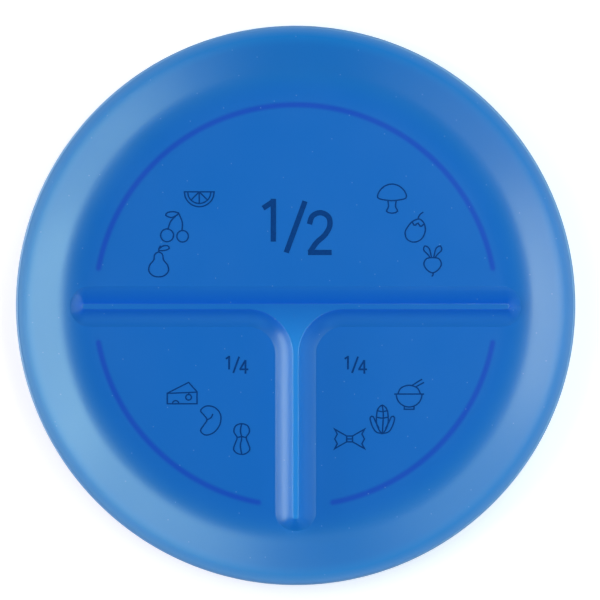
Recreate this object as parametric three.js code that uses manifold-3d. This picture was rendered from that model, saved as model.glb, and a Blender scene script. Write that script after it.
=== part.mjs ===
// Portion plate: a round, shallow plate moulded in one piece. Three ridges meet in a T and part its
// floor into one half and two quarters. Foot ribs stand under the floor, and food pictograms and
// portion fractions are printed on it in ink.
// Millimetres, +Z up. The origin is on the table under the plate's centre, and +Y points into the half.
import * as THREE from "three";
import { mergeVertices } from "three/addons/utils/BufferGeometryUtils.js";
import Module from "manifold-3d";

const wasm = await Module();
wasm.setup();
const radians = THREE.MathUtils.degToRad;

// Driving dimensions of the moulding
const PLATE_RADIUS = 127; // to the outside of the lip
const WALL = 2.3; // floor, rim and ridge walls
const RIM_WIDTH = 33; // in plan, from the edge of the flat floor to the outside of the lip
const RIM_SLOPE = radians(25); // of the rim's straight stretch
const RIM_ROUND = 36; // radius from the flat floor up into that stretch
const BRIM_SLOPE = radians(20); // of the brim, which is the rim's outermost stretch
const BRIM_WIDTH = 2; // in plan, from the brim's start to the middle of the lip
const BRIM_ROUND = 50; // radius from the straight stretch over into the brim
const RIDGE_HEIGHT = 6.6; // above the floor
const RIDGE_TOP_WIDTH = 2; // of the flat along each ridge's crest
const RIDGE_TOP_ROUND = 0.5; // radius from the crest's flat into the wall
const RIDGE_FOOT_SLOPE = radians(28); // of the ridge's wall where it leaves the floor
const RIDGE_WALL_SLOPE = radians(50); // of the ridge's wall just under the crest
const RIDGE_OVERRUN = 3; // how far the crest's tip runs past the edge of the flat floor
const RIDGE_END_STRETCH = 1; // by which a ridge's round end is drawn out along the ridge, 1 for a half round
const RIDGE_SHIFT = 0.5; // of the T from the plate's centre towards the quarters
const RIDGE_CORE_WIDTH = 1; // of the hollow under a ridge, at its top
const JUNCTION_RADIUS = 21; // in plan, of the crest's edge in the two corners of the T
const FOOT_HEIGHT = 1.8; // of the foot ribs below the floor's underside
const FOOT_WIDTH = 2.4;
const FOOT_INSET = 2.1; // from the edge of the flat floor in to the middle of a foot rib
const FOOT_GAP = 17.1; // from a ridge's middle plane to the end of a foot rib
const GATE_RADIUS = 1.1; // of the moulding gate's vestige, inside the hollow of the T
const GATE_DROP = 0.4;
const GATE_OFFSET = 4.5; // from the plate's centre towards the quarters

// Driving dimensions of the print
const INK_FILM = 0.1; // thickness of the ink
const ICON_ARC_INSET = 28; // from the edge of the flat floor in to the arc that the pictograms stand on
const ICON_STEP = radians(15); // between neighbours on that arc
const ICON_GAP = 2.4; // between neighbours
const ICON_STROKE = 0.6;
const HALF_MARK_HEIGHT = 22;
const HALF_MARK_STROKE = 2.4;
const QUARTER_MARK_HEIGHT = 7;
const QUARTER_MARK_STROKE = 0.8;
const FIGURE_SPREAD = 0.5; // from a fraction's slanted stroke to each figure, in heights of the fraction
const FIGURE_STAGGER = 0.14; // by which the figures stand higher and lower than the stroke, likewise
const HALF_ANGLE = radians(147); // of the middle pictogram on the half's left-hand side
const QUARTER_ANGLE = radians(233); // of the middle pictogram of the left-hand quarter

// Facets
const INK_FACET = 0.9; // along a curved stroke
const BOW_POINTS = 8; // along a drawn arc
const LIP_FACET = radians(30);
const RIM_FACETS = 72;
const RIM_STEPS = 6;
const BRIM_STEPS = 2;
const END_STEPS = 8;
const CORNER_STEPS = 6;
const WALL_STEPS = 6;
const ROUND_STEPS = 3;
const FOOT_STEPS = 32;
const GATE_FACETS = 16;
const CUT = 1; // how far a cutting or trimming shape runs past what it cuts

// Levels, radii and centres that follow from them
const FLOOR_UNDER = FOOT_HEIGHT;
const FLOOR_TOP = FLOOR_UNDER + WALL;
const FLOOR_RADIUS = PLATE_RADIUS - RIM_WIDTH;
const LIP_RADIUS = WALL / 2; // the lip is half round
const LIP_RING = PLATE_RADIUS - LIP_RADIUS;
const BRIM_RING = LIP_RING - BRIM_WIDTH + BRIM_ROUND * Math.sin(BRIM_SLOPE);
const RIM_CENTRE = new THREE.Vector2(FLOOR_RADIUS, FLOOR_TOP + RIM_ROUND);
const BRIM_CENTRE = besideSlope(RIM_CENTRE, RIM_SLOPE, BRIM_RING, -RIM_ROUND - BRIM_ROUND);
const LIP_CENTRE = besideSlope(BRIM_CENTRE, BRIM_SLOPE, LIP_RING, BRIM_ROUND - LIP_RADIUS);
const RIDGE_REACH = FLOOR_RADIUS + RIDGE_OVERRUN;
const RIDGE_CURVE =
  (RIDGE_HEIGHT - RIDGE_TOP_ROUND * (1 - Math.cos(RIDGE_WALL_SLOPE))) /
  (Math.cos(RIDGE_FOOT_SLOPE) - Math.cos(RIDGE_WALL_SLOPE));
const RIDGE_RUN =
  RIDGE_CURVE * (Math.sin(RIDGE_WALL_SLOPE) - Math.sin(RIDGE_FOOT_SLOPE)) +
  RIDGE_TOP_ROUND * Math.sin(RIDGE_WALL_SLOPE);
const RIDGE_CENTRE = new THREE.Vector2(
  RIDGE_RUN + RIDGE_CURVE * Math.sin(RIDGE_FOOT_SLOPE),
  RIDGE_CURVE * Math.cos(RIDGE_FOOT_SLOPE),
);
const HOLLOW_CURVE = RIDGE_CURVE + WALL;
const HOLLOW_TOP_OFFSET = (RIDGE_CORE_WIDTH - RIDGE_TOP_WIDTH) / 2;
const HOLLOW_TOP_SLOPE = Math.asin((RIDGE_CENTRE.x - HOLLOW_TOP_OFFSET) / HOLLOW_CURVE);
const HOLLOW_TOP = FLOOR_TOP + RIDGE_CENTRE.y - HOLLOW_CURVE * Math.cos(HOLLOW_TOP_SLOPE);
const ICON_ARC_RADIUS = FLOOR_RADIUS - ICON_ARC_INSET;
const ICON_SIZE = 2 * ICON_ARC_RADIUS * Math.sin(ICON_STEP / 2) - ICON_GAP;

const plastic = new THREE.MeshStandardMaterial({ color: 0x1e6cc4, roughness: 0.38, metalness: 0 });
const ink = new THREE.MeshStandardMaterial({ color: 0x143764, roughness: 0.6, metalness: 0 });

// The point at this radius that lies this far over a sloped line through another point, square to it
function besideSlope(point, slope, radius, distance) {
  const rise = (radius - point.x) * Math.sin(slope) + distance;
  return new THREE.Vector2(radius, point.y + rise / Math.cos(slope));
}

// Points along an arc in a plane, both ends included
function arc(x, y, radius, from, to, steps) {
  return Array.from({ length: steps + 1 }, (_, i) => {
    const angle = from + ((to - from) * i) / steps;
    return new THREE.Vector2(x + radius * Math.cos(angle), y + radius * Math.sin(angle));
  });
}

// A closed three.js geometry as a solid that can be joined and cut
function solid(geometry) {
  const bare = geometry.clone();
  bare.deleteAttribute("normal");
  bare.deleteAttribute("uv");
  const merged = mergeVertices(bare);
  return new wasm.Manifold(
    new wasm.Mesh({
      numProp: 3,
      vertProperties: new Float32Array(merged.attributes.position.array),
      triVerts: new Uint32Array(merged.index.array),
    }),
  );
}

function geometryOf(made) {
  const { vertProperties, triVerts } = made.getMesh();
  const geometry = new THREE.BufferGeometry()
    .setAttribute("position", new THREE.BufferAttribute(vertProperties, 3))
    .setIndex(new THREE.BufferAttribute(triVerts, 1));
  geometry.computeVertexNormals();
  return geometry;
}

// A profile of (radius, height) points turned about the Z axis
function turned(profile) {
  return solid(new THREE.LatheGeometry(profile, RIM_FACETS).rotateX(Math.PI / 2));
}

// A flat outline raised from one height to another
function raised(outline, low, high) {
  const depth = high - low;
  const geometry = new THREE.ExtrudeGeometry(new THREE.Shape(outline), { depth, bevelEnabled: false });
  return solid(geometry.translate(0, 0, low));
}

// Rings of points skinned from each to the next. A cap, as faces over one ring's points, closes both
// ends, and a skin without a cap runs round into its first ring.
function skinned(rings, cap) {
  const count = rings[0].length;
  const faces = [];
  for (let ring = 0; ring < (cap ? rings.length - 1 : rings.length); ring++) {
    const [here, there] = [ring * count, ((ring + 1) % rings.length) * count];
    for (let i = 0; i < count; i++) {
      const next = (i + 1) % count;
      faces.push(here + i, here + next, there + next, here + i, there + next, there + i);
    }
  }
  const last = (rings.length - 1) * count;
  for (const [a, b, c] of cap ?? []) faces.push(a, c, b, last + a, last + b, last + c);
  const positions = rings.flat().flatMap((point) => point.toArray());
  const geometry = new THREE.BufferGeometry()
    .setAttribute("position", new THREE.Float32BufferAttribute(positions, 3))
    .setIndex(faces);
  return solid(geometry);
}

// The rim's top, or its underside this deep below it, from the floor's edge out to the brim
function rimSide(depth) {
  const up = Math.PI / 2;
  const [curve, bend] = [RIM_ROUND + depth, BRIM_ROUND - depth];
  return [
    ...arc(RIM_CENTRE.x, RIM_CENTRE.y, curve, -up, RIM_SLOPE - up, RIM_STEPS),
    ...arc(BRIM_CENTRE.x, BRIM_CENTRE.y, bend, RIM_SLOPE + up, BRIM_SLOPE + up, BRIM_STEPS),
  ];
}

// The half-round lip, from the brim's underside past its outermost and topmost points to the brim's top
function lipRound() {
  const up = Math.PI / 2;
  const stops = [BRIM_SLOPE - up, 0, up, BRIM_SLOPE + up];
  return stops.slice(1).flatMap((to, i) => {
    const steps = Math.ceil((to - stops[i]) / LIP_FACET);
    const points = arc(LIP_CENTRE.x, LIP_CENTRE.y, LIP_RADIUS, stops[i], to, steps);
    return i === 0 ? points : points.slice(1);
  });
}

// Floor, rim and lip
function shell() {
  return turned([
    new THREE.Vector2(0, FLOOR_UNDER),
    ...rimSide(WALL),
    ...lipRound(),
    ...rimSide(0).toReversed(),
    new THREE.Vector2(0, FLOOR_TOP),
  ]);
}

// All that lies above the shell's underside, which trims the ridges' roots
function spaceAboveUnderside() {
  const ceiling = FLOOR_TOP + RIDGE_HEIGHT + CUT;
  const underside = rimSide(WALL);
  return turned([
    new THREE.Vector2(0, FLOOR_UNDER),
    ...underside,
    new THREE.Vector2(underside.at(-1).x, ceiling),
    new THREE.Vector2(0, ceiling),
  ]);
}

// The round end of a ridge in plan, from one side of it to the other
function ridgeEnd(x, y, half, heading) {
  const quarter = Math.PI / 2;
  const centre = new THREE.Vector2(x, y);
  return arc(0, 0, half, -quarter, quarter, END_STEPS).map((point) => {
    const drawnOut = new THREE.Vector2(RIDGE_END_STRETCH * point.x, point.y);
    return drawnOut.rotateAround(new THREE.Vector2(), heading).add(centre);
  });
}

// The T of the ridges in plan, where the wall stands this far outside the crest's flat
function ridgeOutline(offset) {
  const half = RIDGE_TOP_WIDTH / 2 + offset;
  const end = RIDGE_REACH - (RIDGE_END_STRETCH * RIDGE_TOP_WIDTH) / 2;
  const corner = RIDGE_TOP_WIDTH / 2 + JUNCTION_RADIUS;
  const inside = JUNCTION_RADIUS - offset;
  const quarter = Math.PI / 2;
  return [
    ...ridgeEnd(end, 0, half, 0),
    ...ridgeEnd(-end, 0, half, 2 * quarter),
    ...arc(-corner, -corner, inside, quarter, 0, CORNER_STEPS),
    ...ridgeEnd(0, RIDGE_SHIFT - end, half, 3 * quarter),
    ...arc(corner, -corner, inside, 2 * quarter, quarter, CORNER_STEPS),
  ];
}

// A T-shaped body from a section of (offset from the crest's flat, height above the floor) points
function ridgeBody(section) {
  const rings = section.map((level) =>
    ridgeOutline(level.x).map(({ x, y }) => new THREE.Vector3(x, y - RIDGE_SHIFT, FLOOR_TOP + level.y)),
  );
  return skinned(rings, THREE.ShapeUtils.triangulateShape(ridgeOutline(0), []));
}

function ridges() {
  const { x, y } = RIDGE_CENTRE;
  const [down, up] = [-Math.PI / 2, Math.PI / 2];
  const shoulder = RIDGE_HEIGHT - RIDGE_TOP_ROUND;
  const wall = arc(x, y, RIDGE_CURVE, down - RIDGE_FOOT_SLOPE, down - RIDGE_WALL_SLOPE, WALL_STEPS);
  const round = arc(0, shoulder, RIDGE_TOP_ROUND, up - RIDGE_WALL_SLOPE, up, ROUND_STEPS);
  return ridgeBody([new THREE.Vector2(RIDGE_RUN, -WALL - CUT), ...wall, ...round.slice(1)]);
}

// The hollow under the ridges, which keeps their walls as thick as the floor
function ridgeHollow() {
  const { x, y } = RIDGE_CENTRE;
  const down = -Math.PI / 2;
  const footSlope = Math.acos((y + WALL) / HOLLOW_CURVE);
  const wall = arc(x, y, HOLLOW_CURVE, down - footSlope, down - HOLLOW_TOP_SLOPE, WALL_STEPS);
  return ridgeBody([new THREE.Vector2(wall[0].x, -WALL - CUT), ...wall]);
}

// One foot rib, between two angles about the plate's centre
function footRib(from, to) {
  const middle = FLOOR_RADIUS - FOOT_INSET;
  const outline = [
    ...arc(0, 0, middle + FOOT_WIDTH / 2, from, to, FOOT_STEPS),
    ...arc(0, 0, middle - FOOT_WIDTH / 2, to, from, FOOT_STEPS),
  ];
  return raised(outline, 0, FLOOR_UNDER + WALL / 2);
}

function footRibs() {
  const clear = Math.asin(FOOT_GAP / (FLOOR_RADIUS - FOOT_INSET));
  const ridgeAngles = [0, Math.PI, 1.5 * Math.PI, 2 * Math.PI];
  const ribs = ridgeAngles.slice(1).map((to, i) => footRib(ridgeAngles[i] + clear, to - clear));
  return ribs.reduce((joined, rib) => joined.add(rib));
}

function gateVestige() {
  const root = (FLOOR_TOP + RIDGE_HEIGHT - HOLLOW_TOP) / 2;
  const height = GATE_DROP + root;
  const nub = new THREE.CylinderGeometry(GATE_RADIUS, GATE_RADIUS, height, GATE_FACETS);
  nub.rotateX(Math.PI / 2).translate(0, -GATE_OFFSET, HOLLOW_TOP - GATE_DROP + height / 2);
  return solid(nub);
}

function plateBody() {
  const trimmed = ridges().intersect(spaceAboveUnderside());
  return shell().add(trimmed).subtract(ridgeHollow()).add(footRibs()).add(gateVestige());
}

// Strokes of the print. Points are (x, y) pairs in the drawing's own square, one unit wide and centred.
const loop = (...points) => ({ points, smooth: true, closed: true });
const curve = (...points) => ({ points, smooth: true, closed: false });
const bar = (...points) => ({ points, smooth: false, closed: false });
const frame = (...points) => ({ points, smooth: false, closed: true });
const along = (...arcSizes) => arc(...arcSizes, BOW_POINTS).map((point) => point.toArray());
const bow = (x, y, radius, from, to) => curve(...along(x, y, radius, radians(from), radians(to)));
const ring = (x, y, radius) => loop(...along(x, y, radius, 0, 2 * Math.PI).slice(1));

// The line that a stroke follows, in millimetres
function strokeLine(stroke, size) {
  const points = stroke.points.map(([x, y]) => new THREE.Vector3(x * size, y * size, 0));
  if (!stroke.smooth) return points;
  const path = new THREE.CatmullRomCurve3(points, stroke.closed, "centripetal");
  const spaced = path.getSpacedPoints(Math.ceil(path.getLength() / INK_FACET));
  return stroke.closed ? spaced.slice(1) : spaced;
}

// The four corners of a stroke's section at each point of its line, mitred there
function strokeSections(line, closed, width) {
  const count = line.length;
  return line.map((point, i) => {
    const before = line[closed ? (i + count - 1) % count : Math.max(i - 1, 0)];
    const after = line[closed ? (i + 1) % count : Math.min(i + 1, count - 1)];
    const arriving = point.clone().sub(before).normalize();
    const leaving = after.clone().sub(point).normalize();
    const tangent = arriving.clone().add(leaving).normalize();
    const mitre = width / 2 / tangent.dot(leaving.lengthSq() ? leaving : arriving);
    const across = new THREE.Vector3(-tangent.y, tangent.x, 0).multiplyScalar(mitre);
    const [left, right] = [point.clone().add(across), point.clone().sub(across)];
    const [leftTop, rightTop] = [left, right].map((side) => side.clone().setZ(INK_FILM));
    return [left, leftTop, rightTop, right];
  });
}

function strokeSolid(stroke, size, width) {
  const sections = strokeSections(strokeLine(stroke, size), stroke.closed, width);
  return skinned(sections, stroke.closed ? null : [[0, 1, 2], [0, 2, 3]]);
}

// One printed drawing: its strokes joined into a single film of ink, lying on the floor
function printed(name, strokes, size, width, x, y) {
  const film = strokes
    .map((stroke) => strokeSolid(stroke, size, width))
    .reduce((joined, stroke) => joined.add(stroke));
  const mesh = new THREE.Mesh(geometryOf(film), ink);
  mesh.name = name;
  mesh.position.set(x, y, FLOOR_TOP);
  return mesh;
}

const fruits = {
  pear_print: [
    loop([0, 0.27], [0.12, 0.2], [0.15, 0.03], [0.28, -0.14], [0.3, -0.32], [0.15, -0.47],
      [-0.15, -0.47], [-0.3, -0.32], [-0.28, -0.14], [-0.15, 0.03], [-0.12, 0.2]),
    curve([0, 0.27], [0.01, 0.38], [0.06, 0.47]),
    curve([0.01, 0.37], [0.14, 0.46], [0.29, 0.46], [0.33, 0.39], [0.19, 0.32], [0, 0.32]),
  ],
  cherries_print: [
    ring(-0.24, -0.26, 0.2),
    ring(0.24, -0.29, 0.18),
    curve([-0.22, -0.08], [-0.12, 0.18], [0.12, 0.42]),
    curve([0.22, -0.12], [0.23, 0.14], [0.12, 0.42]),
    curve([0.13, 0.43], [-0.06, 0.47], [-0.25, 0.43], [-0.28, 0.36], [-0.1, 0.29], [0.09, 0.38]),
  ],
  citrus_print: [
    bow(0, 0.2, 0.46, 180, 360),
    bow(0, 0.2, 0.36, 180, 360),
    bar([-0.48, 0.2], [0.48, 0.2]),
    bar([0, 0.2], [0, -0.16]),
    bar([0, 0.2], [0.26, -0.06]),
    bar([0, 0.2], [-0.26, -0.06]),
  ],
};

const vegetables = {
  mushroom_print: [
    loop([-0.44, 0.02], [-0.4, 0.2], [-0.22, 0.38], [0, 0.44], [0.22, 0.38], [0.4, 0.2], [0.44, 0.02],
      [0.22, -0.05], [0, -0.07], [-0.22, -0.05]),
    curve([-0.13, -0.06], [-0.11, -0.26], [-0.17, -0.4], [0, -0.46], [0.17, -0.4], [0.11, -0.26],
      [0.13, -0.06]),
  ],
  aubergine_print: [
    loop([0.1, 0.24], [0.24, 0.1], [0.27, -0.14], [0.15, -0.38], [-0.08, -0.47], [-0.29, -0.38],
      [-0.35, -0.17], [-0.25, 0.03], [-0.09, 0.19]),
    curve([-0.13, 0.15], [-0.05, 0.04], [0.04, 0.12], [0.13, 0.01], [0.24, 0.1]),
    curve([0.04, 0.24], [0.1, 0.37], [0.21, 0.46]),
  ],
  radish_print: [
    loop([0, 0.1], [0.2, 0.06], [0.27, -0.1], [0.18, -0.27], [0, -0.37], [-0.18, -0.27], [-0.27, -0.1],
      [-0.2, 0.06]),
    curve([0, -0.37], [0.02, -0.43], [-0.03, -0.48]),
    curve([-0.07, 0.09], [-0.15, 0.2], [-0.28, 0.34], [-0.24, 0.46], [-0.12, 0.4], [-0.03, 0.1]),
    curve([0.07, 0.09], [0.15, 0.2], [0.28, 0.34], [0.24, 0.46], [0.12, 0.4], [0.03, 0.1]),
  ],
};

const proteins = {
  peanut_print: [
    loop([0, 0.47], [0.19, 0.4], [0.24, 0.22], [0.14, 0.04], [0.2, -0.14], [0.25, -0.33], [0.11, -0.46],
      [-0.11, -0.46], [-0.25, -0.33], [-0.2, -0.14], [-0.14, 0.04], [-0.24, 0.22], [-0.19, 0.4]),
    curve([0, 0.47], [-0.04, 0.25], [0, 0.04], [-0.04, -0.2], [0, -0.47]),
    curve([-0.14, 0.04], [0, 0.07], [0.14, 0.04]),
  ],
  bean_print: [
    loop([-0.1, 0.44], [0.16, 0.41], [0.35, 0.2], [0.34, -0.12], [0.14, -0.38], [-0.12, -0.45],
      [-0.26, -0.32], [-0.14, -0.12], [-0.06, 0.02], [-0.15, 0.16], [-0.26, 0.3]),
    curve([-0.06, 0.02], [0.06, 0.08], [0.12, 0.2]),
  ],
  cheese_print: [
    frame([-0.46, -0.3], [0.46, -0.3], [0.46, 0.06], [-0.46, 0.02]),
    bar([-0.45, 0.03], [0.2, 0.36], [0.46, 0.07]),
    bow(-0.2, -0.3, 0.1, 0, 180),
    ring(0.2, -0.1, 0.09),
    curve([0.2, -0.01], [0.21, 0.02], [0.21, 0.05]),
  ],
};

const grains = {
  rice_bowl_print: [
    bow(0, 0, 0.4, 180, 360),
    bar([-0.46, 0], [0.46, 0]),
    curve([-0.35, 0], [-0.26, 0.18], [0, 0.27], [0.26, 0.18], [0.35, 0]),
    bar([-0.15, -0.37], [-0.15, -0.47], [0.15, -0.47], [0.15, -0.37]),
    bar([0.08, 0.26], [0.4, 0.46]),
    bar([0.2, 0.22], [0.46, 0.36]),
  ],
  corn_print: [
    loop([0, 0.47], [0.13, 0.36], [0.18, 0.12], [0.16, -0.16], [0, -0.4], [-0.16, -0.16], [-0.18, 0.12],
      [-0.13, 0.36]),
    curve([0, 0.47], [0.03, 0.2], [0, -0.4]),
    curve([-0.15, 0.3], [0, 0.27], [0.15, 0.3]),
    curve([-0.18, 0.1], [0, 0.07], [0.18, 0.1]),
    curve([0, -0.41], [0.2, -0.35], [0.34, -0.1], [0.37, 0.1], [0.3, 0.13], [0.2, -0.06], [0.1, -0.25]),
    curve([0, -0.41], [-0.2, -0.35], [-0.34, -0.1], [-0.37, 0.1], [-0.3, 0.13], [-0.2, -0.06],
      [-0.1, -0.25]),
  ],
  pasta_print: [
    frame([-0.46, 0.3], [-0.09, 0.09], [0.09, 0.09], [0.46, 0.3], [0.38, 0.15], [0.46, 0], [0.38, -0.15],
      [0.46, -0.3], [0.09, -0.09], [-0.09, -0.09], [-0.46, -0.3], [-0.38, -0.15], [-0.46, 0],
      [-0.38, 0.15]),
    bar([-0.09, 0.09], [-0.09, -0.09]),
    bar([0.09, 0.09], [0.09, -0.09]),
    bar([-0.09, 0], [0.09, 0]),
  ],
};

const digits = {
  one: [bar([0.04, 0.5], [0.04, -0.5]), bar([-0.2, 0.28], [0.04, 0.44])],
  two: [
    curve([-0.24, 0.22], [-0.17, 0.41], [0.02, 0.49], [0.2, 0.4], [0.24, 0.2], [0.13, -0.02],
      [-0.08, -0.22], [-0.23, -0.44]),
    bar([-0.27, -0.44], [0.28, -0.44]),
  ],
  four: [
    bar([0.12, 0.5], [-0.28, -0.18]),
    bar([-0.32, -0.18], [0.32, -0.18]),
    bar([0.12, 0.5], [0.12, -0.5]),
  ],
  slash: [bar([-0.22, -0.6], [0.22, 0.6])],
};

// Three pictograms side by side on the arc, centred on an angle
function pictograms(drawings, centre) {
  const group = new THREE.Group();
  const names = Object.keys(drawings);
  names.forEach((name, i) => {
    const angle = centre + ICON_STEP * ((names.length - 1) / 2 - i);
    const [x, y] = [ICON_ARC_RADIUS * Math.cos(angle), ICON_ARC_RADIUS * Math.sin(angle)];
    group.add(printed(name, drawings[name], ICON_SIZE, ICON_STROKE, x, y));
  });
  return group;
}

// A fraction: its first figure raised, a slanted stroke, its second figure lowered
function fraction(prefix, figures, height, stroke, x, y) {
  const group = new THREE.Group();
  const [spread, stagger] = [FIGURE_SPREAD * height, FIGURE_STAGGER * height];
  figures.forEach((figure, i) => {
    const side = i - 1;
    const name = `${prefix}_${figure}`;
    const [figureX, figureY] = [x + side * spread, y - side * stagger];
    group.add(printed(name, digits[figure], height - stroke, stroke, figureX, figureY));
  });
  return group;
}

const plate = new THREE.Mesh(geometryOf(plateBody()), plastic);
plate.name = "plate_body";

// The quarters' fractions stand midway between the T's inner corner and the pictograms
const cornerFoot =
  (RIDGE_TOP_WIDTH / 2 + JUNCTION_RADIUS) * Math.SQRT2 - (JUNCTION_RADIUS - RIDGE_RUN);
const quarterPlace = (cornerFoot + ICON_ARC_RADIUS - ICON_SIZE / 2) / 2 / Math.SQRT2;
const halfPlace = ICON_ARC_RADIUS * Math.sin(HALF_ANGLE);
const halfMark = ["one", "slash", "two"];
const quarterMark = ["one", "slash", "four"];
const quarterSizes = [QUARTER_MARK_HEIGHT, QUARTER_MARK_STROKE];

const portionPlate = new THREE.Group();
portionPlate.name = "portion_plate";
portionPlate.add(
  plate,
  pictograms(fruits, HALF_ANGLE),
  pictograms(vegetables, Math.PI - HALF_ANGLE),
  pictograms(proteins, QUARTER_ANGLE),
  pictograms(grains, 3 * Math.PI - QUARTER_ANGLE),
  fraction("half", halfMark, HALF_MARK_HEIGHT, HALF_MARK_STROKE, 0, halfPlace),
  fraction("left_quarter", quarterMark, ...quarterSizes, -quarterPlace, -quarterPlace),
  fraction("right_quarter", quarterMark, ...quarterSizes, quarterPlace, -quarterPlace),
);

export default portionPlate;
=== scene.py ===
"""Looks of the portion plate: a translucent blue moulding with dark blue print, on a white table.

Metres, +Z up. The origin is on the table under the plate's centre, and +Y points into the half.
"""
import math

import bmesh
import bpy
import numpy as np
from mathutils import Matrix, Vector
from mathutils.geometry import delaunay_2d_cdt


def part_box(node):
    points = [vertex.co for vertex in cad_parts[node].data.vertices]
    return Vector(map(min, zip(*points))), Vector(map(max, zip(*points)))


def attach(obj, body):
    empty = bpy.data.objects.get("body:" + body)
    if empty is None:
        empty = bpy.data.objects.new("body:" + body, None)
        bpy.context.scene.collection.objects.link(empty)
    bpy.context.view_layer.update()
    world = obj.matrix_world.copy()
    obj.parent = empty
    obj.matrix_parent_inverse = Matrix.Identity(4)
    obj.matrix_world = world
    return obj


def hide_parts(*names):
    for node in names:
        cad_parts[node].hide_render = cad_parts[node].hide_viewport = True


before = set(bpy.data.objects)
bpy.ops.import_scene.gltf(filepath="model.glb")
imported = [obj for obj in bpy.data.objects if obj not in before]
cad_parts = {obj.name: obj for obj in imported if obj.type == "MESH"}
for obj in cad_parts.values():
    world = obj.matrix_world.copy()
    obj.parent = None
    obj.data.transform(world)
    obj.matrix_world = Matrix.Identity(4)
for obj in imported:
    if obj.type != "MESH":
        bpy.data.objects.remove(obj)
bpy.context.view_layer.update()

MM = 0.001

# Sizes of the moulding
WALL = 2.3 * MM  # floor, rim and ridge walls
RIM_WIDTH = 33 * MM  # in plan, from the edge of the flat floor to the outside of the lip
RIM_SLOPE = math.radians(25)  # of the rim's straight stretch
RIM_ROUND = 36 * MM  # radius from the flat floor up into that stretch
BRIM_SLOPE = math.radians(20)  # of the brim, which is the rim's outermost stretch
BRIM_WIDTH = 2 * MM  # in plan, from the brim's start to the middle of the lip
BRIM_ROUND = 50 * MM  # radius from the straight stretch over into the brim
RIDGE_HEIGHT = 6.6 * MM  # above the floor
RIDGE_TOP_WIDTH = 2 * MM  # of the flat along each ridge's crest
RIDGE_TOP_ROUND = 0.5 * MM  # radius from the crest's flat into the wall
RIDGE_FOOT_SLOPE = math.radians(28)  # of the ridge's wall where it leaves the floor
RIDGE_WALL_SLOPE = math.radians(50)  # of the ridge's wall just under the crest
RIDGE_OVERRUN = 3 * MM  # how far the crest's tip runs past the edge of the flat floor
RIDGE_SHIFT = 0.5 * MM  # of the T from the plate's centre towards the quarters
RIDGE_CORE_WIDTH = 1 * MM  # of the hollow under a ridge, at its top
JUNCTION_RADIUS = 21 * MM  # in plan, of the crest's edge in the two corners of the T
FOOT_WIDTH = 2.4 * MM  # of a foot rib, halfway down
FOOT_DRAFT = 0.15 * MM  # by which a foot rib's side stands out at its root and in at its tip
FOOT_INSET = 2.1 * MM  # from the edge of the flat floor in to the middle of a foot rib
FOOT_GAP = 17.1 * MM  # from the plate's middle planes to the end of a foot rib's middle line
GATE_RADIUS = 1.1 * MM  # of the moulding gate's vestige, inside the hollow of the T
GATE_DROP = 0.4 * MM  # depth of the vestige
GATE_OFFSET = 4.5 * MM  # from the plate's centre towards the quarters
GATE_DIMPLE = 0.06 * MM  # depth of the dimple in the crest over the gate
PRINT_CLEARANCE = 0.02 * MM  # by which the plate's top lies below the print

# Levels, radii and centres, from the frame and the sizes
PLATE_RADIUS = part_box("plate_body")[1].x
FLOOR_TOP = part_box("half_slash")[0].z
FLOOR_UNDER = FLOOR_TOP - WALL
FLOOR_RADIUS = PLATE_RADIUS - RIM_WIDTH
RIM_LEVEL = FLOOR_TOP + RIM_ROUND
LIP_RADIUS = WALL / 2
LIP_RING = PLATE_RADIUS - LIP_RADIUS
BRIM_RING = LIP_RING - BRIM_WIDTH + BRIM_ROUND * math.sin(BRIM_SLOPE)
BRIM_LEVEL = RIM_LEVEL + (
    (BRIM_RING - FLOOR_RADIUS) * math.sin(RIM_SLOPE) - RIM_ROUND - BRIM_ROUND
) / math.cos(RIM_SLOPE)
LIP_LEVEL = BRIM_LEVEL + (
    (LIP_RING - BRIM_RING) * math.sin(BRIM_SLOPE) + BRIM_ROUND - LIP_RADIUS
) / math.cos(BRIM_SLOPE)
RIDGE_CURVE = (RIDGE_HEIGHT - RIDGE_TOP_ROUND * (1 - math.cos(RIDGE_WALL_SLOPE))) / (
    math.cos(RIDGE_FOOT_SLOPE) - math.cos(RIDGE_WALL_SLOPE)
)
RIDGE_ROUND_RUN = RIDGE_TOP_ROUND * math.sin(RIDGE_WALL_SLOPE)
RIDGE_RUN = RIDGE_ROUND_RUN + RIDGE_CURVE * (math.sin(RIDGE_WALL_SLOPE) - math.sin(RIDGE_FOOT_SLOPE))
RIDGE_CENTRE = RIDGE_RUN + RIDGE_CURVE * math.sin(RIDGE_FOOT_SLOPE)
RIDGE_LEVEL = RIDGE_CURVE * math.cos(RIDGE_FOOT_SLOPE)
RIDGE_END = FLOOR_RADIUS + RIDGE_OVERRUN - RIDGE_TOP_WIDTH / 2
DIVIDER_END = RIDGE_END - RIDGE_SHIFT
CORNER = RIDGE_TOP_WIDTH / 2 + JUNCTION_RADIUS
HOLLOW_CURVE = RIDGE_CURVE + WALL
HOLLOW_TOP_OFFSET = (RIDGE_CORE_WIDTH - RIDGE_TOP_WIDTH) / 2
HOLLOW_RUN = RIDGE_CENTRE - math.sqrt(HOLLOW_CURVE**2 - (RIDGE_LEVEL + WALL) ** 2)
FOOT_RADIUS = FLOOR_RADIUS - FOOT_INSET
FOOT_CLEAR = math.asin(FOOT_GAP / FOOT_RADIUS)
FOOT_TIP = FOOT_WIDTH / 2 - FOOT_DRAFT
FOOT_ROOT = FOOT_WIDTH / 2 + FOOT_DRAFT
RIB_SPANS = [(0, math.pi), (math.pi, 1.5 * math.pi), (1.5 * math.pi, 2 * math.pi)]

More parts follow.
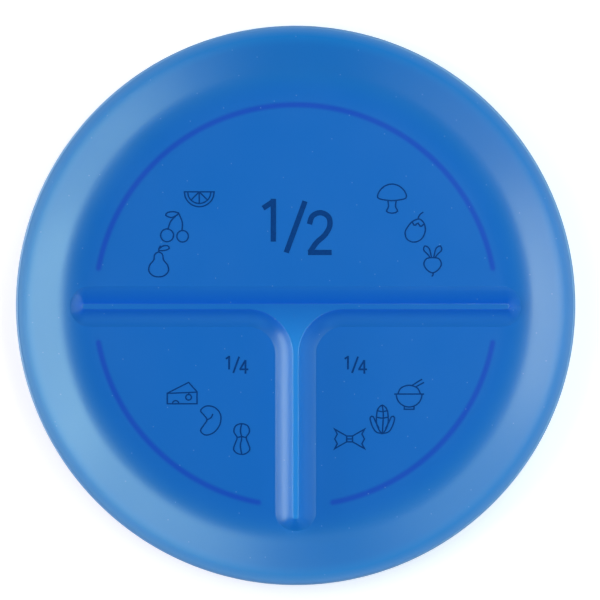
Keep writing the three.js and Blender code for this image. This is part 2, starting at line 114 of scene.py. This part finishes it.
# Steps of the mesh
JOIN_RADIUS = 112 * MM  # at which the sheets of the top and underside join the turned rim
RIM_FACETS = 288
RIM_STEP = math.radians(2)
LIP_STEP = math.radians(9)
SLOPE_STEPS = 8
RIDGE_STEP = math.radians(4)
CREST_STEP = math.radians(12)
END_STEPS = 28
CORNER_STEPS = 20
STRAIGHT_STEPS = 18
HOLLOW_LOOPS = 15
HOLLOW_CROWDING = 1.5  # power by which the hollow's loops crowd towards its top
RIB_END_STEPS = 8
GATE_FACETS = 24
GATE_RINGS = (0.25, 0.5, 0.75, 1, 1.25)  # of the dimple, in radii of the gate
GATE_SIDES = (0.98, 1.02)  # between which the vestige's side stands, likewise
MEETING_STEPS = 30
PLAN_TOLERANCE = 1e-7
WELD_DISTANCE = 2e-6
SHARP = math.radians(20)

# The plastic: where its deeper shades and painted light lie, what they are, and its gloss and grain
SHADE_THICKNESS = (2.5 * MM, 3.6 * MM)  # seen from above, at which a wall's deeper colour and painted light start and are full
RIM_CLEAR = 1.5 * MM  # height of the rim over the floor at which its painted light is full
BRIM_START = 118.5 * MM  # radius at which the brim's painted light starts
BRIM_FULL = 122 * MM  # radius at which it is full
SHADE_TIP = 0.6 * MM  # from a foot rib's middle line to where its shade is full
SHADE_ROOT = 1.9 * MM  # and to where its shade starts
EDGE_WIDTH = 4.5 * MM  # of the painted glow at the lip
EDGE_POWER = 1.5
GLOW_LENGTH = 18 * MM  # along the divider, over which the painted glow sets in
GLOW_FULL = 0.2 * MM  # outside the crest's flat, where the crest's painted glow is still full
GLOW_END = 1 * MM  # and where it ends
GLOW_WALL = 0.7  # share of the painted glow at the top of the divider's walls
PLASTIC_COLOUR = (0.0, 0.17, 0.615, 1)
# Colours mixed in by share: deeper ones where the plastic is thicker, and painted light on the rim,
# brim, walls, divider and lip
PLASTIC_SHADES = {
    # painted light on the rim
    "rim_painted_light": (0.0, 0.185, 0.595, 1),
    # painted light on the brim
    "brim_painted_light": (0.0, 0.225, 0.645, 1),
    # deeper where the walls are thicker, with painted light in a bluer tint
    "wall_depth_and_painted_light": (0.0, 0.125, 0.74, 1),
    "foot_shade": (0.0, 0.09, 0.58, 1),
    # painted glow along the divider
    "divider_painted_glow": (0.015, 0.3, 0.83, 1),
    # painted glow at the lip
    "lip_painted_glow": (0.16, 0.34, 0.62, 1),
}
PLASTIC_TRANSMISSION = 0.2
PLASTIC_ROUGHNESS = (0.28, 0.31)
PLASTIC_IOR = 1.6
PLASTIC_SPECULAR = 1.0
PLASTIC_GLOSS_TINT = (0.71, 0.96, 0.74, 1)
PLASTIC_ABSORPTION = (0.0, 0.5, 0.95, 1)
PLASTIC_DENSITY = 380.0
GRAIN = {"scale": 1500.0, "detail": 2.0}
GRAIN_STRENGTH = 0.3
GRAIN_DEPTH = 0.03 * MM
SWELL = {"scale": 45.0, "detail": 1.0}
SWELL_STRENGTH = 0.25
SWELL_DEPTH = 0.2 * MM
PATCHES = {"scale": 28.0, "detail": 3.0}
PATCH_RANGE = (0.3, 0.7)
SPECK_COLOUR = (0.12, 0.35, 0.75, 1)
SPECK_SCALE = 55.0
SPECK_RADIUS = 0.3 * MM

# The ink
MOTTLE = {"scale": 900.0, "detail": 3.0}
MOTTLE_RANGE = (0.3, 0.75)
INK_COLOURS = [(0.0, 0.038, 0.17, 1), (0.0, 0.05, 0.21, 1)]
INK_ROUGHNESS = 0.35
INK_SPECULAR = 0.2

# The table
TABLE_HALF = 4.0
TABLE_DROP = 0.1 * MM
TABLE_TONE = {"scale": 6.0, "detail": 2.0}
TABLE_COLOURS = [(0.9, 0.9, 0.9, 1), (0.92, 0.92, 0.92, 1)]
TABLE_ROUGHNESS = 0.9
TABLE_SPECULAR = 0.1
TABLE_LIFT = 0.37
WHITE = (1, 1, 1, 1)

# The light: each lamp's name, colour, azimuth and elevation in degrees, width, height and radiance
SKY = 0.06
COOL = (0.88, 1.03, 1.15)
WARM = (1.08, 0.97, 1.0)
DEEP = (0.35, 1.0, 1.75)
LAMP_DISTANCE = 0.9
LAMPS = [
    ("right_back", COOL, 54, 47.5, 0.54, 0.31, 3.35),
    ("right", COOL, 8, 49.5, 0.54, 0.31, 4.5),
    ("right_front", COOL, -38, 46.5, 0.54, 0.28, 3.8),
    ("right_low", COOL, 0, 14, 1.1, 0.3, 0.3),
    ("left_back", COOL, 137, 44.5, 0.54, 0.3, 2.0),
    ("left", WARM, 180, 45, 0.54, 0.26, 5.5),
    ("left_front", WARM, 222, 44, 0.54, 0.32, 0.9),
    ("left_low", WARM, 172, 13, 1.6, 0.24, 3.5),
    ("front_low", DEEP, 270, 16, 1.1, 0.3, 0.42),
    ("back_high", COOL, 90, 60, 0.7, 0.16, 0.35),
]

# The camera, which looks straight down a little off the plate's centre
LENS = 132.0
SENSOR = 36.0
FRAME_PIXELS = 600
PLATE_PIXELS = 279.8  # radius of the plate's outline in the picture
CAMERA_X = 2.0 * MM
CAMERA_Y = 2.45 * MM


def ramp(value, start, full):
    """A share that is 0 up to the start and grows evenly to 1."""
    return np.clip((value - start) / (full - start), 0, 1)


def arc(x, y, radius, start, stop, steps):
    """Points along an arc in a plane, both ends included."""
    angles = np.linspace(start, stop, steps + 1)
    return np.column_stack((x + radius * np.cos(angles), y + radius * np.sin(angles)))


def circle(radius, facets=RIM_FACETS, x=0, y=0):
    return arc(x, y, radius, 0, 2 * math.pi, facets)[:-1]


def steps_over(span, step):
    return max(1, math.ceil(abs(span) / step))


def ridge_outline(offset):
    """The T of the ridges in plan, where the wall stands this far outside the crest's flat."""
    half = RIDGE_TOP_WIDTH / 2 + offset
    inside = JUNCTION_RADIUS - offset
    quarter = math.pi / 2
    stretches = [
        arc(RIDGE_END, 0, half, -quarter, quarter, END_STEPS),
        arc(-RIDGE_END, 0, half, quarter, 3 * quarter, END_STEPS),
        arc(-CORNER, -CORNER, inside, quarter, 0, CORNER_STEPS),
        arc(0, -DIVIDER_END, half, 2 * quarter, 4 * quarter, END_STEPS),
        arc(CORNER, -CORNER, inside, 2 * quarter, quarter, CORNER_STEPS),
    ]
    outline = []
    for stretch, following in zip(stretches, stretches[1:] + stretches[:1]):
        outline.append(stretch)
        outline.append(np.linspace(stretch[-1], following[0], STRAIGHT_STEPS + 1)[1:-1])
    return np.vstack(outline) - (0, RIDGE_SHIFT)


CREST_EDGE = ridge_outline(0)
OUTWARD = (ridge_outline(MM) - CREST_EDGE) / MM


def ridge_loop(offsets):
    """A loop round the ridges with one offset for all of its points, or one for each."""
    return CREST_EDGE + OUTWARD * np.reshape(offsets, (-1, 1))


def ridge_offset(x, y):
    """How far a point in plan lies outside the crest's flat."""
    y = y + RIDGE_SHIFT
    past_end = np.maximum(np.abs(x) - RIDGE_END, 0)
    below_end = np.maximum(-DIVIDER_END - y, 0)
    beside = np.hypot(past_end, y)
    along = np.hypot(x, np.maximum(y, below_end))
    straight = np.minimum(beside, along) - RIDGE_TOP_WIDTH / 2
    rounded = JUNCTION_RADIUS - np.hypot(np.abs(x) - CORNER, y + CORNER)
    in_corner = (np.abs(x) < CORNER) & (y < 0) & (y > -CORNER)
    return np.where(in_corner, rounded, straight)


def ridge_height(offset):
    """Height of the ridges' surface over the floor, running on under it past the wall's foot."""
    within = np.clip(offset, 0, RIDGE_ROUND_RUN)
    crest = RIDGE_HEIGHT - RIDGE_TOP_ROUND + np.sqrt(RIDGE_TOP_ROUND**2 - within**2)
    reach = np.clip(RIDGE_CENTRE - offset, RIDGE_CENTRE - RIDGE_RUN, RIDGE_CENTRE - RIDGE_ROUND_RUN)
    wall = RIDGE_LEVEL - np.sqrt(RIDGE_CURVE**2 - reach**2)
    beyond = (RIDGE_RUN - offset) * math.tan(RIDGE_FOOT_SLOPE)
    return np.where(offset < RIDGE_ROUND_RUN, crest, np.where(offset < RIDGE_RUN, wall, beyond))


def hollow_height(offset):
    """Height of the hollow's roof over the floor, one wall inside the ridges' surface."""
    reach = np.clip(RIDGE_CENTRE - offset, 0, RIDGE_CENTRE - HOLLOW_TOP_OFFSET)
    return RIDGE_LEVEL - np.sqrt(HOLLOW_CURVE**2 - reach**2)


def rim_height(radius, depth):
    """Height of the rim's top over the floor, or of its underside this deep below it."""
    curve, bend = RIM_ROUND + depth, BRIM_ROUND - depth
    round_end = FLOOR_RADIUS + curve * math.sin(RIM_SLOPE)
    bend_start = BRIM_RING - bend * math.sin(RIM_SLOPE)
    bend_end = BRIM_RING - bend * math.sin(BRIM_SLOPE)
    in_round = np.clip(radius, FLOOR_RADIUS, round_end) - FLOOR_RADIUS
    in_bend = BRIM_RING - np.clip(radius, bend_start, bend_end)
    rounded = RIM_ROUND - np.sqrt(curve**2 - in_round**2)
    straight = (np.clip(radius, round_end, bend_start) - round_end) * math.tan(RIM_SLOPE)
    bent = np.sqrt(bend**2 - in_bend**2) - bend * math.cos(RIM_SLOPE)
    brim = np.maximum(radius - bend_end, 0) * math.tan(BRIM_SLOPE)
    return rounded + straight + bent + brim


def meeting(ridge, depth, low, high):
    """Offsets at which a ridge's surface meets the floor and rim, one for each point of a loop."""
    low, high = np.full(len(CREST_EDGE), low), np.full(len(CREST_EDGE), high)
    for _ in range(MEETING_STEPS):
        middle = (low + high) / 2
        x, y = ridge_loop(middle).T
        above = ridge(middle) > rim_height(np.hypot(x, y), depth)
        low, high = np.where(above, middle, low), np.where(above, high, middle)
    return high


def rib_distance(x, y):
    """Distance in plan to the middle line of the nearest foot rib."""
    angle = np.arctan2(y, x) % (2 * math.pi)
    nearest = np.full_like(x, np.inf)
    for start, stop in RIB_SPANS:
        held = np.clip(angle, start + FOOT_CLEAR, stop - FOOT_CLEAR)
        to_line = np.hypot(x - FOOT_RADIUS * np.cos(held), y - FOOT_RADIUS * np.sin(held))
        nearest = np.minimum(nearest, to_line)
    return nearest


def rib_outline(start, stop, offset):
    """A foot rib's outline in plan, this far outside its middle line."""
    start, stop = start + FOOT_CLEAR, stop - FOOT_CLEAR
    steps = steps_over(stop - start, 2 * math.pi / RIM_FACETS)
    ends = [(FOOT_RADIUS * math.cos(a), FOOT_RADIUS * math.sin(a)) for a in (start, stop)]
    return np.vstack([
        arc(0, 0, FOOT_RADIUS + offset, start, stop, steps),
        arc(*ends[1], offset, stop, stop + math.pi, RIB_END_STEPS)[1:-1],
        arc(0, 0, FOOT_RADIUS - offset, stop, start, steps),
        arc(*ends[0], offset, start + math.pi, start + 2 * math.pi, RIB_END_STEPS)[1:-1],
    ])


def top_height(x, y):
    """Height of the plate's top, with the dimple over the gate."""
    rim = rim_height(np.hypot(x, y), 0)
    ridge = ridge_height(ridge_offset(x, y))
    dimple = GATE_DIMPLE * ramp(np.hypot(x, y + GATE_OFFSET), GATE_RADIUS, GATE_RADIUS / 2)
    return FLOOR_TOP - PRINT_CLEARANCE + np.maximum(rim, ridge) - dimple


def under_wall(x, y):
    """Height of the underside without its foot ribs and gate vestige."""
    rim = rim_height(np.hypot(x, y), WALL)
    return FLOOR_TOP + np.maximum(rim, hollow_height(ridge_offset(x, y)))


def under_height(x, y):
    """Height of the underside with them."""
    rib = FLOOR_UNDER * ramp(rib_distance(x, y), FOOT_ROOT, FOOT_TIP)
    gate = GATE_DROP * (np.hypot(x, y + GATE_OFFSET) < GATE_RADIUS)
    return under_wall(x, y) - rib - gate


def wall_depth_and_painted_light(x, y):
    """How much deeper the plastic looks on the ridges' walls, which are thicker seen from above, and
    how much painted light brightens their blue.
    """
    inside = np.hypot(x, y) < JOIN_RADIUS
    thickness = np.where(inside, top_height(x, y) - under_wall(x, y), WALL)
    off_crest = ramp(ridge_offset(x, y), 0, RIDGE_ROUND_RUN)
    return np.minimum(ramp(thickness, *SHADE_THICKNESS), off_crest)


def rim_painted_light(x, y):
    """How much painted light the rim gets, standing in for the light that comes through it where it
    stands clear of the table.
    """
    return ramp(rim_height(np.hypot(x, y), 0), 0, RIM_CLEAR)


def brim_painted_light(x, y):
    """How much painted light the brim gets, standing in for the light that reaches it from the lip as
    well.
    """
    return ramp(np.hypot(x, y), BRIM_START, BRIM_FULL)


def foot_shade(x, y):
    """How much deeper the plastic looks over the foot ribs, blurred as light spreads in it."""
    return ramp(rib_distance(x, y), SHADE_ROOT, SHADE_TIP)


def lip_painted_glow(x, y):
    """How much painted glow the lip gets, standing in for the light it gathers from inside the plastic.
    """
    return ramp(np.hypot(x, y), PLATE_RADIUS - EDGE_WIDTH, PLATE_RADIUS) ** EDGE_POWER


def divider_painted_glow(x, y):
    """How much painted glow the divider gets on its crest and walls, standing in for light that passes
    through it.
    """
    offset = ridge_offset(x, y)
    on_crest = ramp(offset, GLOW_END, GLOW_FULL)
    on_wall = GLOW_WALL * ramp(offset, RIDGE_RUN, 0)
    on_divider = ramp(-y, RIDGE_SHIFT, RIDGE_SHIFT + GLOW_LENGTH)
    return np.maximum(on_crest, on_wall) * on_divider


def sheet(loops, height):
    """A triangulated disc that keeps these closed loops as edges: its vertices and triangles."""
    points, edges = [], []
    for loop in loops:
        first = len(points)
        points.extend(Vector(point) for point in loop)
        edges.extend((first + i, first + (i + 1) % len(loop)) for i in range(len(loop)))
    plan, _, faces, *_ = delaunay_2d_cdt(points, edges, [], 0, PLAN_TOLERANCE)
    x, y = np.array([tuple(point) for point in plan]).T
    return np.column_stack((x, y, height(x, y))), faces


def rim_circles(depth):
    """Circles of the rim from the floor's edge out to the join with the turned rim."""
    slopes = np.linspace(0, RIM_SLOPE, steps_over(RIM_SLOPE, RIM_STEP) + 1)
    radii = FLOOR_RADIUS + (RIM_ROUND + depth) * np.sin(slopes)
    return [circle(radius) for radius in (*radii, JOIN_RADIUS)]


def rib_loops(offsets):
    """Outlines of all foot ribs, at these distances from their middle lines."""
    return [rib_outline(*span, offset) for span in RIB_SPANS for offset in offsets]


def gate_circles(shares):
    """Circles round the gate, at these shares of its radius."""
    return [circle(GATE_RADIUS * share, GATE_FACETS, 0, -GATE_OFFSET) for share in shares]


def top_sheet():
    """The plate's top inside the join."""
    round_steps = steps_over(RIDGE_WALL_SLOPE, CREST_STEP)
    round_slopes = np.linspace(0, RIDGE_WALL_SLOPE, round_steps + 1)
    wall_steps = steps_over(RIDGE_WALL_SLOPE - RIDGE_FOOT_SLOPE, RIDGE_STEP)
    wall_slopes = np.linspace(RIDGE_WALL_SLOPE, RIDGE_FOOT_SLOPE, wall_steps + 1)
    offsets = [
        *(RIDGE_TOP_ROUND * np.sin(round_slopes)),
        *(RIDGE_CENTRE - RIDGE_CURVE * np.sin(wall_slopes[1:-1])),
        meeting(ridge_height, 0, 0, RIDGE_RUN),
    ]
    ridges = [ridge_loop(offset) for offset in offsets]
    ribs = rib_loops((SHADE_TIP, SHADE_ROOT))
    return sheet(ridges + ribs + gate_circles(GATE_RINGS) + rim_circles(0), top_height)


def under_sheet():
    """The plate's underside inside the join."""
    span = HOLLOW_RUN - HOLLOW_TOP_OFFSET
    offsets = HOLLOW_TOP_OFFSET + span * np.linspace(0, 1, HOLLOW_LOOPS) ** HOLLOW_CROWDING
    foot = meeting(hollow_height, WALL, HOLLOW_TOP_OFFSET, HOLLOW_RUN)
    hollows = [ridge_loop(offset) for offset in (*offsets[:-1], foot)]
    ribs = rib_loops((FOOT_TIP - FOOT_DRAFT, FOOT_TIP, FOOT_ROOT, FOOT_ROOT + FOOT_DRAFT))
    return sheet(hollows + ribs + gate_circles(GATE_SIDES) + rim_circles(WALL), under_height)


def rim_side(depth, lip_start):
    """Points on the rim's top or underside, from the join out to where the lip starts."""
    slopes = np.linspace(RIM_SLOPE, BRIM_SLOPE, steps_over(RIM_SLOPE - BRIM_SLOPE, RIM_STEP) + 1)
    bend = BRIM_RING - (BRIM_ROUND - depth) * np.sin(slopes)
    straight = np.linspace(JOIN_RADIUS, bend[0], SLOPE_STEPS + 1)[:-1]
    brim = lip_start - (lip_start - bend[-1]) * np.linspace(1, 0, SLOPE_STEPS + 1)[1:-1] ** 2
    radii = np.concatenate((straight, bend, brim))
    return np.column_stack((radii, FLOOR_TOP + rim_height(radii, depth)))


def rim_profile():
    """The turned rim as (radius, height), from the join on top over the lip to the join underneath."""
    top_turn, under_turn = BRIM_SLOPE + math.pi / 2, BRIM_SLOPE - math.pi / 2
    lip_steps = steps_over(math.pi, LIP_STEP)
    lip = arc(LIP_RING, LIP_LEVEL, LIP_RADIUS, top_turn, under_turn, lip_steps)
    top = rim_side(0, lip[0, 0])
    under = rim_side(WALL, lip[-1, 0])
    to_lip = (lip[0, 0] - top[:, 0]) / (lip[0, 0] - JOIN_RADIUS)
    top[:, 1] -= PRINT_CLEARANCE * to_lip
    return np.vstack([top, lip, under[::-1]])


def turned_rim():
    """The rim's vertices and quads, one ring of vertices for each point of its profile."""
    around = circle(1)
    rings = []
    for radius, level in rim_profile():
        rings.append(np.column_stack((around * radius, np.full(RIM_FACETS, level))))
    faces = []
    for ring in range(len(rings) - 1):
        here, there = ring * RIM_FACETS, (ring + 1) * RIM_FACETS
        for i in range(RIM_FACETS):
            following = (i + 1) % RIM_FACETS
            faces.append((here + i, there + i, there + following, here + following))
    return np.vstack(rings), faces


def plate_mesh():
    """The plate as one closed mesh, with a layer of shares for each deeper shade and painted light of
    its plastic.
    """
    vertices, faces = [], []
    for part, part_faces in (top_sheet(), turned_rim(), under_sheet()):
        first = sum(len(block) for block in vertices)
        vertices.append(part)
        faces.extend([first + i for i in face] for face in part_faces)
    mesh = bpy.data.meshes.new("plate")
    mesh.from_pydata(np.vstack(vertices).tolist(), [], faces)
    working = bmesh.new()
    working.from_mesh(mesh)
    bmesh.ops.remove_doubles(working, verts=working.verts, dist=WELD_DISTANCE)
    bmesh.ops.recalc_face_normals(working, faces=working.faces)
    working.to_mesh(mesh)
    working.free()
    mesh.shade_smooth()
    mesh.set_sharp_from_angle(angle=SHARP)
    x, y = np.array([vertex.co[:2] for vertex in mesh.vertices]).T
    for shade in (rim_painted_light, brim_painted_light, wall_depth_and_painted_light, foot_shade, divider_painted_glow, lip_painted_glow):
        layer = mesh.attributes.new(shade.__name__, "FLOAT", "POINT")
        layer.data.foreach_set("value", shade(x, y).astype(np.float32))
    return mesh


class Graph:
    """A new material's nodes: each call adds one node, sets its sockets and links what it is given."""

    def __init__(self, name):
        self.material = bpy.data.materials.new(name)
        self.material.use_nodes = True
        self.tree = self.material.node_tree
        self.tree.nodes.clear()
        self.place = self.add("ShaderNodeTexCoord").outputs["Object"]

    def add(self, kind, inputs=None, **settings):
        node = self.tree.nodes.new(kind)
        for name, value in settings.items():
            setattr(node, name, value)
        for socket, value in (inputs or {}).items():
            if isinstance(value, bpy.types.NodeSocket):
                self.tree.links.new(value, node.inputs[socket])
            else:
                node.inputs[socket].default_value = value
        return node

    def noise(self, scale, detail):
        inputs = {"Vector": self.place, "Scale": scale, "Detail": detail}
        return self.add("ShaderNodeTexNoise", inputs).outputs["Fac"]

    def bump(self, height, strength, depth, **under):
        inputs = {"Height": height, "Strength": strength, "Distance": depth, **under}
        return self.add("ShaderNodeBump", inputs).outputs["Normal"]

    def mix(self, share, first, second):
        inputs = {"Fac": share, "Color1": first, "Color2": second}
        return self.add("ShaderNodeMixRGB", inputs).outputs["Color"]

    def between(self, value, colours, ends=(0, 1)):
        """A colour that runs from the first to the second as the value runs between the ends."""
        node = self.add("ShaderNodeValToRGB", {"Fac": value})
        for element, end, colour in zip(node.color_ramp.elements, ends, colours):
            element.position = end
            element.color = colour
        return node.outputs["Color"]

    def math(self, operation, first, second):
        return self.add("ShaderNodeMath", {0: first, 1: second}, operation=operation).outputs["Value"]


def plastic_material():
    graph = Graph("translucent_blue_plastic")
    swelling = graph.bump(graph.noise(**SWELL), SWELL_STRENGTH, SWELL_DEPTH)
    grained = graph.bump(graph.noise(**GRAIN), GRAIN_STRENGTH, GRAIN_DEPTH, Normal=swelling)
    roughness = graph.add(
        "ShaderNodeMapRange",
        {
            "Value": graph.noise(**PATCHES),
            "From Min": PATCH_RANGE[0],
            "From Max": PATCH_RANGE[1],
            "To Min": PLASTIC_ROUGHNESS[0],
            "To Max": PLASTIC_ROUGHNESS[1],
        },
    )
    colour = PLASTIC_COLOUR
    # mixes in the deeper shades and the painted light, one by one
    for name, tint in PLASTIC_SHADES.items():
        share = graph.add("ShaderNodeAttribute", attribute_name=name).outputs["Fac"]
        colour = graph.mix(share, colour, tint)
    cells = graph.add(
        "ShaderNodeTexVoronoi", {"Vector": graph.place, "Scale": SPECK_SCALE}, voronoi_dimensions="2D"
    )
    speck = graph.add(
        "ShaderNodeMapRange",
        {
            "Value": cells.outputs["Distance"],
            "From Min": SPECK_SCALE * SPECK_RADIUS,
            "From Max": SPECK_SCALE * SPECK_RADIUS / 2,
        },
    )
    shader = graph.add(
        "ShaderNodeBsdfPrincipled",
        {
            "Base Color": graph.mix(speck.outputs["Result"], colour, SPECK_COLOUR),
            "Roughness": roughness.outputs["Result"],
            "IOR": PLASTIC_IOR,
            "Specular IOR Level": PLASTIC_SPECULAR,
            "Specular Tint": PLASTIC_GLOSS_TINT,
            "Transmission Weight": PLASTIC_TRANSMISSION,
            "Normal": grained,
        },
    )
    volume = graph.add(
        "ShaderNodeVolumeAbsorption", {"Color": PLASTIC_ABSORPTION, "Density": PLASTIC_DENSITY}
    )
    graph.add(
        "ShaderNodeOutputMaterial",
        {"Surface": shader.outputs["BSDF"], "Volume": volume.outputs["Volume"]},
    )
    return graph.material


def ink_material():
    graph = Graph("dark_blue_ink")
    mottle = graph.noise(**MOTTLE)
    shader = graph.add(
        "ShaderNodeBsdfPrincipled",
        {
            "Base Color": graph.between(mottle, INK_COLOURS, MOTTLE_RANGE),
            "Roughness": INK_ROUGHNESS,
            "Specular IOR Level": INK_SPECULAR,
            "Normal": graph.bump(mottle, GRAIN_STRENGTH, GRAIN_DEPTH),
        },
    )
    graph.add("ShaderNodeOutputMaterial", {"Surface": shader.outputs["BSDF"]})
    return graph.material


def table_material():
    """A white table that is lifted to full white where it is seen, mirrored or seen through plastic."""
    graph = Graph("white_table")
    shader = graph.add(
        "ShaderNodeBsdfPrincipled",
        {
            "Base Color": graph.between(graph.noise(**TABLE_TONE), TABLE_COLOURS),
            "Roughness": TABLE_ROUGHNESS,
            "Specular IOR Level": TABLE_SPECULAR,
        },
    )
    rays = graph.add("ShaderNodeLightPath").outputs
    seen = graph.math("MAXIMUM", rays["Is Camera Ray"], rays["Is Glossy Ray"])
    shown = graph.math("MAXIMUM", seen, rays["Is Transmission Ray"])
    strength = graph.math("MULTIPLY", shown, TABLE_LIFT)
    lift = graph.add("ShaderNodeEmission", {"Color": WHITE, "Strength": strength})
    total = graph.add("ShaderNodeAddShader", {0: shader.outputs["BSDF"], 1: lift.outputs["Emission"]})
    graph.add("ShaderNodeOutputMaterial", {"Surface": total.outputs["Shader"]})
    return graph.material


def added(name, data):
    """A new object in the scene."""
    made = bpy.data.objects.new(name, data)
    bpy.context.scene.collection.objects.link(made)
    return made


def softbox(name, colour, azimuth, elevation, width, height, radiance):
    """A rectangular lamp that faces the plate and isn't seen by the camera."""
    data = bpy.data.lights.new(name, "AREA")
    data.shape = "RECTANGLE"
    data.size = width
    data.size_y = height
    data.color = colour
    data.energy = radiance * math.pi * width * height
    lamp = added(name, data)
    azimuth, elevation = math.radians(azimuth), math.radians(elevation)
    across = math.cos(elevation)
    direction = Vector((across * math.cos(azimuth), across * math.sin(azimuth), math.sin(elevation)))
    lamp.location = direction * LAMP_DISTANCE
    lamp.rotation_mode = "QUATERNION"
    lamp.rotation_quaternion = direction.to_track_quat("Z", "Y")
    lamp.visible_camera = False


# The plate and its print
plate = added("plate", plate_mesh())
plate.data.materials.append(plastic_material())
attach(plate, "root")
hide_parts("plate_body")

ink = ink_material()
for name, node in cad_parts.items():
    if name != "plate_body":
        node.data.materials.clear()
        node.data.materials.append(ink)

# The table
table_corners = []
for x, y in ((-1, -1), (1, -1), (1, 1), (-1, 1)):
    table_corners.append((TABLE_HALF * x, TABLE_HALF * y, -TABLE_DROP))
table_mesh = bpy.data.meshes.new("table")
table_mesh.from_pydata(table_corners, [], [(0, 1, 2, 3)])
table = added("table", table_mesh)
table.data.materials.append(table_material())

# The light
for lamp in LAMPS:
    softbox(*lamp)

world = bpy.data.worlds.new("studio")
world.use_nodes = True
bpy.context.scene.world = world
sky = world.node_tree.nodes["Background"]
sky.inputs["Color"].default_value = WHITE
sky.inputs["Strength"].default_value = SKY

# The camera
camera_data = bpy.data.cameras.new("camera")
camera_data.lens = LENS
camera_data.sensor_width = SENSOR
camera = added("camera", camera_data)
above_lip = PLATE_RADIUS * LENS / SENSOR * FRAME_PIXELS / PLATE_PIXELS
camera.location = (CAMERA_X, CAMERA_Y, LIP_LEVEL + above_lip)
bpy.context.scene.camera = camera

bpy.context.scene.view_settings.view_transform = "Standard"
